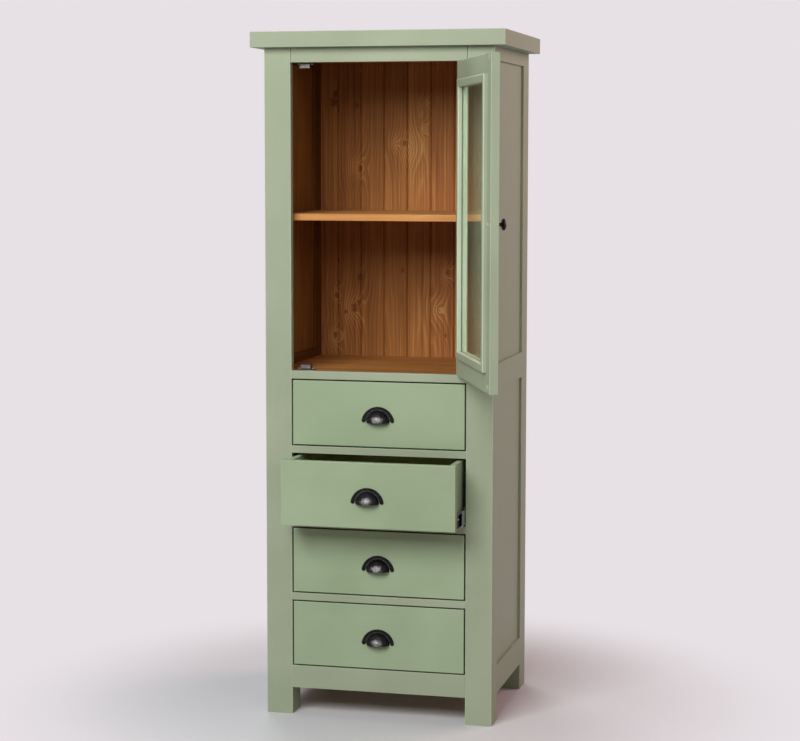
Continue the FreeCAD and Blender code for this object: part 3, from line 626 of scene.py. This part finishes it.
# Blackened iron
# Cast iron under thin black lacquer: near black with a soft sheen, a beaten surface with fine
# casting grain, and pale grey at the lip of each pull and round its cup: partly bare metal where fingers
# rub it, partly a painted highlight.
blackIron = {
    "colour": "#141416",
    "warm": "#1E1B19",
    "warmStops": (0.4, 0.75),
    # pale grey of bare metal, which also paints the highlight at the lip and along the crease
    "rubbed": "#7C7A79",
    "grainCellMm": (0.8, 0.8, 0.8),
    "grainRelief": 0.12,
    "patchCellMm": (11.0, 11.0, 11.0),
    "beatCellMm": (5.5, 5.5, 5.5),
    "cupMm": (33.0, 34.0),  # half width and height of the cup, where its rim meets the plate
    "creaseRing": (1.05, 0.028),  # radius and half width of the pale crease (wear and painted highlight), counted in the cup's size
    "creaseShare": 0.5,
    "lipRise": 0.2,  # how high the pale lip (rubbed metal and painted highlight) lies, as a share of the pull's height
    "rubSizeMm": (22.0, 15.0, 11.0),
    "rubRough": 1.1,
    "rubEdge": (1.65, 0.75),  # where the pale patch starts, and where it is full, counted in its size
    "roughness": (0.48, 0.38),
    "bump": 1.0,
    "bumpMm": 1.5,
    "shader": {"Metallic": 0.8},
}
# The knob is browner, and polished by hands
knobIron = dict(blackIron, colour="#1B120D", warm="#33241A", roughness=(0.34, 0.22))


def wearAndHighlightPull(tree, place, patch, colour, pull):  # pale grey round the foot of the cup and at its lip: partly bare metal, partly a painted highlight
    low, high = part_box(pull)
    middle = (low.x + high.x) / 2
    foot = (middle, high.y, low.z)
    lip = (middle, low.y, low.z + blackIron["lipRise"] * (high.z - low.z))

    wide, tall = blackIron["cupMm"]
    radius, half = blackIron["creaseRing"]
    off = addNode(tree, "ShaderNodeVectorMath", {0: place}, {1: foot}, operation="SUBTRACT")
    off = addNode(
        tree, "ShaderNodeVectorMath", {0: off.outputs[0]}, {1: (1000 / wide, 0.0, 1000 / tall)},
        operation="MULTIPLY",
    )
    far = addNode(tree, "ShaderNodeVectorMath", {0: off.outputs[0]}, operation="LENGTH")
    ring = addNode(
        tree, "ShaderNodeMath", {0: far.outputs["Value"]}, {1: radius, 2: half}, operation="COMPARE"
    )
    creaseWearAndHighlight = addNode(tree, "ShaderNodeMath", {0: ring.outputs[0], 1: patch}, operation="MULTIPLY")
    creaseWearAndHighlight = addNode(
        tree, "ShaderNodeMath", {0: creaseWearAndHighlight.outputs[0]}, {1: blackIron["creaseShare"]}, operation="MULTIPLY"
    )

    start, full = blackIron["rubEdge"]
    off = addNode(tree, "ShaderNodeVectorMath", {0: place}, {1: lip}, operation="SUBTRACT")
    cells = inCells(tree, off.outputs[0], blackIron["rubSizeMm"])
    far = addNode(tree, "ShaderNodeVectorMath", {0: cells}, operation="LENGTH")
    far = addNode(
        tree, "ShaderNodeMath", {0: patch, 2: far.outputs["Value"]}, {1: blackIron["rubRough"]},
        operation="MULTIPLY_ADD",
    )
    worn = addNode(
        tree, "ShaderNodeMapRange", {"Value": far.outputs[0]}, {"From Min": start, "From Max": full},
        interpolation_type="SMOOTHSTEP",
    )
    for share in (creaseWearAndHighlight.outputs[0], worn.outputs["Result"]):
        colour = addNode(
            tree, "ShaderNodeMix", {0: share, 6: colour}, {7: hexColour(blackIron["rubbed"])},
            data_type="RGBA",
        ).outputs[2]
    return colour


def makeBlackIron(name, look=blackIron, pull=None):
    made, tree = startMaterial(name)
    place = laidAlong(tree)
    grain = addNode(
        tree, "ShaderNodeTexNoise", {"Vector": inCells(tree, place, look["grainCellMm"])},
        {"Scale": 1.0, "Detail": 3.0},
    ).outputs["Fac"]
    patch = addNode(
        tree, "ShaderNodeTexNoise", {"Vector": inCells(tree, place, look["patchCellMm"])},
        {"Scale": 1.0, "Detail": 3.0},
    ).outputs["Fac"]
    beaten = addNode(
        tree, "ShaderNodeTexVoronoi", {"Vector": inCells(tree, place, look["beatCellMm"])},
        {"Scale": 1.0}, feature="SMOOTH_F1",
    ).outputs["Distance"]
    start, full = look["warmStops"]
    colour = addNode(
        tree, "ShaderNodeValToRGB", {"Fac": patch},
        stops=[(start, hexColour(look["colour"])), (full, hexColour(look["warm"]))],
    ).outputs["Color"]
    if pull:
        colour = wearAndHighlightPull(tree, place, patch, colour, pull)
    dull, bright = look["roughness"]
    roughness = addNode(
        tree, "ShaderNodeMapRange", {"Value": patch}, {**noiseSpan, "To Min": dull, "To Max": bright}
    ).outputs["Result"]
    relief = addNode(
        tree, "ShaderNodeMath", {0: grain, 2: beaten}, {1: look["grainRelief"]}, operation="MULTIPLY_ADD"
    ).outputs[0]
    endMaterial(tree, {"colour": colour, "roughness": roughness, "relief": relief}, look)
    return made


# Zinc-plated steel
# Rolled strip with a thin plate: cool grey, drawn lines along its length and small dull spots.
platedSteel = {
    "colour": "#B4B6B8",
    "dull": "#A2A4A7",
    "spotStops": (0.35, 0.6),
    "lineCellMm": (0.7, 80.0, 0.7),
    "spotCellMm": (9.0, 9.0, 9.0),
    "roughness": (0.24, 0.42),
    "bump": 0.08,
    "bumpMm": 0.2,
    "shader": {"Metallic": 1.0},
}
brightSteel = dict(platedSteel, colour="#F0F1EC", dull="#D4D6D0", roughness=(0.34, 0.44))  # screw heads
dullSteel = dict(platedSteel, colour="#827B77", dull="#66605C", roughness=(0.45, 0.6))  # pole pieces


def makeSteel(name, look=platedSteel):
    made, tree = startMaterial(name)
    place = laidAlong(tree)
    lines = addNode(
        tree, "ShaderNodeTexNoise", {"Vector": inCells(tree, place, look["lineCellMm"])},
        {"Scale": 1.0, "Detail": 2.0},
    ).outputs["Fac"]
    spots = addNode(
        tree, "ShaderNodeTexNoise", {"Vector": inCells(tree, place, look["spotCellMm"])},
        {"Scale": 1.0, "Detail": 3.0},
    ).outputs["Fac"]
    start, full = look["spotStops"]
    colour = addNode(
        tree, "ShaderNodeValToRGB", {"Fac": spots},
        stops=[(start, hexColour(look["dull"])), (full, hexColour(look["colour"]))],
    ).outputs["Color"]
    smooth, scuffed = look["roughness"]
    roughness = addNode(
        tree, "ShaderNodeMapRange", {"Value": lines}, {**noiseSpan, "To Min": smooth, "To Max": scuffed}
    ).outputs["Result"]
    endMaterial(tree, {"colour": colour, "roughness": roughness, "relief": lines}, look)
    return made


# Moulded black plastic: near black, finely grained by the mould, with a dull sheen
blackPlastic = {
    "colour": "#131416",
    "worn": "#1F2023",
    "wornStops": (0.4, 0.75),
    "grainCellMm": (0.5, 0.5, 0.5),
    "roughness": (0.46, 0.56),
    "bump": 0.2,
    "bumpMm": 0.2,
    "shader": {"IOR": 1.5},
}


def makeBlackPlastic(name):
    made, tree = startMaterial(name)
    cells = inCells(tree, laidAlong(tree), blackPlastic["grainCellMm"])
    grain = addNode(
        tree, "ShaderNodeTexNoise", {"Vector": cells}, {"Scale": 1.0, "Detail": 2.0}
    ).outputs["Fac"]
    start, full = blackPlastic["wornStops"]
    colour = addNode(
        tree, "ShaderNodeValToRGB", {"Fac": grain},
        stops=[(start, hexColour(blackPlastic["colour"])), (full, hexColour(blackPlastic["worn"]))],
    ).outputs["Color"]
    smooth, rubbed = blackPlastic["roughness"]
    roughness = addNode(
        tree, "ShaderNodeMapRange", {"Value": grain}, {"To Min": smooth, "To Max": rubbed}
    ).outputs["Result"]
    endMaterial(tree, {"colour": colour, "roughness": roughness, "relief": grain}, blackPlastic)
    return made


# Float glass: clear with a faint green, mirror-smooth, and lamps shine through it
floatGlass = {
    "tint": "#F1F7F3",
    "shader": {"Roughness": 0.0, "IOR": 1.52, "Transmission Weight": 1.0},
}


def makeFloatGlass(name):
    made, tree = startMaterial(name)
    tint = hexColour(floatGlass["tint"])
    pane = addNode(tree, "ShaderNodeBsdfPrincipled", None, {**floatGlass["shader"], "Base Color": tint})
    clear = addNode(tree, "ShaderNodeBsdfTransparent", None, {"Color": tint})
    shadow = addNode(tree, "ShaderNodeLightPath").outputs["Is Shadow Ray"]
    shader = addNode(tree, "ShaderNodeMixShader", {0: shadow, 1: pane.outputs[0], 2: clear.outputs[0]})
    addNode(tree, "ShaderNodeOutputMaterial", {"Surface": shader.outputs[0]})
    return made


# Which piece wears which finish
dressed = set()


def dress(finish, *names):
    for name in names:
        slots = nodes[name].data.materials
        slots.clear()
        slots.append(finish)
        dressed.add(name)


def ofEachDrawer(part):
    return [f"{drawer}_{part}" for drawer in drawers]


dress(
    makeSagePaint("sagePaintAcross", acrossFront),
    "top_board", "front_waist_rail", "drawer_divider_rails", "front_bottom_rail",
)
dress(makeSagePaint("sagePaintUpright", upright), "foot_blocks")
dress(makeSagePaint("sagePaintDrawerFront", acrossFront, drawerPaint), *ofEachDrawer("front"))
dress(makeSagePaint("sagePaintDrawerBox", alongSide, drawerPaint), *ofEachDrawer("box"))
dress(
    makeSagePaint("sagePaintDoorUpright", doorUpright),
    "door_hinge_stile", "door_free_stile", "strike_plates",
)
dress(makeSagePaint("sagePaintDoorAcross", doorAcross), "door_top_rail", "door_bottom_rail")
dress(makePaintedOutside("paintedPineSidePanels", upright), "side_panels")
dress(
    makePaintedOutside("paintedPineSideStiles", upright, shadedStilePine),
    "left_side_stiles", "right_side_stiles",
)
dress(makePaintedOutside("paintedPineSideRails", alongSide, shadedStilePine), "side_rails")
dress(makePaintedFront("paintedPineFrameUpright", upright), "front_left_stile", "front_right_stile")
dress(makePaintedFront("paintedPineFrameAcross", acrossFront), "front_top_rail")
dress(makeGlazingBead("sagePaintGlazingBeads"), "glazing_beads")
dress(makeBackBoards("stainedPineBackBoards"), "back_boards")
dress(makePine("stainedPineFloor", acrossFront), "compartment_floor", "top_cleats")
dress(makePine("stainedPineShelf", acrossFront, shelfPine), "shelf")
dress(makePine("rawPineBattens", alongSide, rawPine), "slide_battens")
dress(makePine("plywoodSheet", acrossFront, plywood), "base_panel", *ofEachDrawer("bottom"))
dress(makeBlackIron("blackenedIronKnob", knobIron), "door_knob")
dress(
    makeSteel("zincPlatedSteel"),
    "hinge_frame_leaves", "hinge_pins", "hinge_door_leaves", "shelf_pins", "slide_outer_members",
    "carcass_screws", *ofEachDrawer("slide_inner"), *ofEachDrawer("slide_middle"),
)
dress(makeSteel("polishedScrewSteel", brightSteel), "door_screws")
dress(makeSteel("dullMagnetSteel", dullSteel), "catch_magnets")
dress(makeBlackPlastic("mouldedBlackPlastic"), "catch_housings")
dress(makeFloatGlass("clearFloatGlass"), "door_glass")
for number, pull in enumerate(ofEachDrawer("pull"), 1):
    dress(makeBlackIron(f"blackenedIronPull{number}", pull=pull), pull)
print("finishes on", len(dressed), "pieces, none on", sorted(set(nodes) - dressed))

# Floor and light: a pale matt floor that fades into the background, and four soft lamps
studio = {
    "floor": "#E0E1E5",
    "floorBounce": "#ADA7AA",  # a darker floor for the light that it throws back up
    "floorRoughness": 0.7,
    "floorRadius": 40.0,
    "floorSides": 96,
    "fade": (0.4, 1.3),  # metres from the middle where the floor starts to fade, and where it is gone
    "background": "#E7E1E5",
    "ambient": 0.075,
    "target": (0.0, -0.2, 1.0),  # where the lamps point
}
lamps = {
    "keyLamp": {"place": (-0.75, -4.45, 3.55), "size": (3.0, 2.6), "power": 214.0, "colour": "#FFFFFF"},
    "frontLamp": {"place": (4.2, -4.4, 3.2), "size": (2.4, 2.4), "power": 32.0, "colour": "#FFF4F2"},
    "sideLamp": {"place": (2.4, 1.4, 2.6), "size": (1.8, 1.4), "power": 38.0, "colour": "#FFCFC8"},
    "backLamp": {"place": (-2.4, 4.3, 4.2), "size": (2.6, 2.6), "power": 75.0, "colour": "#FFFFFF"},
}


def addLamp(name, settings):
    lamp = bpy.data.lights.new(name, "AREA")
    lamp.shape = "RECTANGLE"
    lamp.size, lamp.size_y = settings["size"]
    lamp.energy = settings["power"]
    lamp.color = hexColour(settings["colour"])[:3]
    made = bpy.data.objects.new(name, lamp)
    made.visible_camera = False
    made.location = settings["place"]
    aim = Vector(studio["target"]) - Vector(settings["place"])
    made.rotation_euler = aim.to_track_quat("-Z", "Y").to_euler()
    bpy.context.scene.collection.objects.link(made)


def seenDirectly(tree):  # 1 for what the eye, a mirror or glass sees, 0 for light that falls on things
    ray = addNode(tree, "ShaderNodeLightPath").outputs
    seen = addNode(
        tree, "ShaderNodeMath", {0: ray["Is Camera Ray"], 1: ray["Is Glossy Ray"]}, operation="MAXIMUM"
    ).outputs[0]
    return addNode(
        tree, "ShaderNodeMath", {0: seen, 1: ray["Is Transmission Ray"]}, operation="MAXIMUM"
    ).outputs[0]


def makeFloor():
    shape = bmesh.new()
    bmesh.ops.create_circle(
        shape, cap_ends=True, segments=studio["floorSides"], radius=studio["floorRadius"]
    )
    mesh = bpy.data.meshes.new("studioFloor")
    shape.to_mesh(mesh)
    shape.free()
    floor = bpy.data.objects.new("studioFloor", mesh)
    bpy.context.scene.collection.objects.link(floor)
    made, tree = startMaterial("paleFloor")
    start, gone = studio["fade"]
    far = addNode(tree, "ShaderNodeVectorMath", {0: laidAlong(tree)}, operation="LENGTH")
    fade = addNode(
        tree, "ShaderNodeMapRange", {"Value": far.outputs["Value"]}, {"From Min": start, "From Max": gone},
        interpolation_type="SMOOTHERSTEP",
    )
    eye = seenDirectly(tree)
    faded = addNode(tree, "ShaderNodeMath", {0: fade.outputs["Result"], 1: eye}, operation="MULTIPLY")
    colour = addNode(
        tree, "ShaderNodeMix", {0: eye},
        {6: hexColour(studio["floorBounce"]), 7: hexColour(studio["floor"])}, data_type="RGBA",
    )
    matt = addNode(
        tree, "ShaderNodeBsdfPrincipled", {"Base Color": colour.outputs[2]},
        {"Roughness": studio["floorRoughness"]},
    )
    glow = addNode(tree, "ShaderNodeEmission", None, {"Color": hexColour(studio["background"])})
    shader = addNode(
        tree, "ShaderNodeMixShader", {0: faded.outputs[0], 1: matt.outputs[0], 2: glow.outputs[0]}
    )
    addNode(tree, "ShaderNodeOutputMaterial", {"Surface": shader.outputs[0]})
    mesh.materials.append(made)


def makeWorld():
    world = bpy.data.worlds.new("studioWorld")
    world.use_nodes = True
    tree = world.node_tree
    tree.nodes.clear()
    strength = addNode(
        tree, "ShaderNodeMapRange", {"Value": seenDirectly(tree)},
        {"To Min": studio["ambient"], "To Max": 1.0},
    )
    glow = addNode(
        tree, "ShaderNodeBackground", {"Strength": strength.outputs["Result"]},
        {"Color": hexColour(studio["background"])},
    )
    addNode(tree, "ShaderNodeOutputWorld", {"Surface": glow.outputs[0]})
    bpy.context.scene.world = world


# The photograph's camera, fitted to the cabinet's edges
view = {
    "place": (1.4224, -5.7874, 1.5581),
    "yaw": 0.2409,
    "pitch": 0.1012,
    "roll": 0.0012,
    "focalPixels": 2094.84,
    "imageWidth": 800,
    "sensorMm": 36.0,
    "clipEnd": 200.0,
}


def makeCamera():
    lens = bpy.data.cameras.new("photoCamera")
    lens.sensor_width = view["sensorMm"]
    lens.lens = view["focalPixels"] * view["sensorMm"] / view["imageWidth"]
    lens.clip_end = view["clipEnd"]
    made = bpy.data.objects.new("photoCamera", lens)
    turn = Matrix.Rotation(view["yaw"], 4, "Z") @ Matrix.Rotation(quarter - view["pitch"], 4, "X")
    turn = turn @ Matrix.Rotation(view["roll"], 4, "Z")
    made.matrix_world = Matrix.Translation(view["place"]) @ turn
    bpy.context.scene.collection.objects.link(made)
    bpy.context.scene.camera = made


makeFloor()
makeWorld()
for name, settings in lamps.items():
    addLamp(name, settings)
makeCamera()
bpy.context.scene.view_settings.view_transform = "Standard"
print("studio: floor, world, lamps and camera")
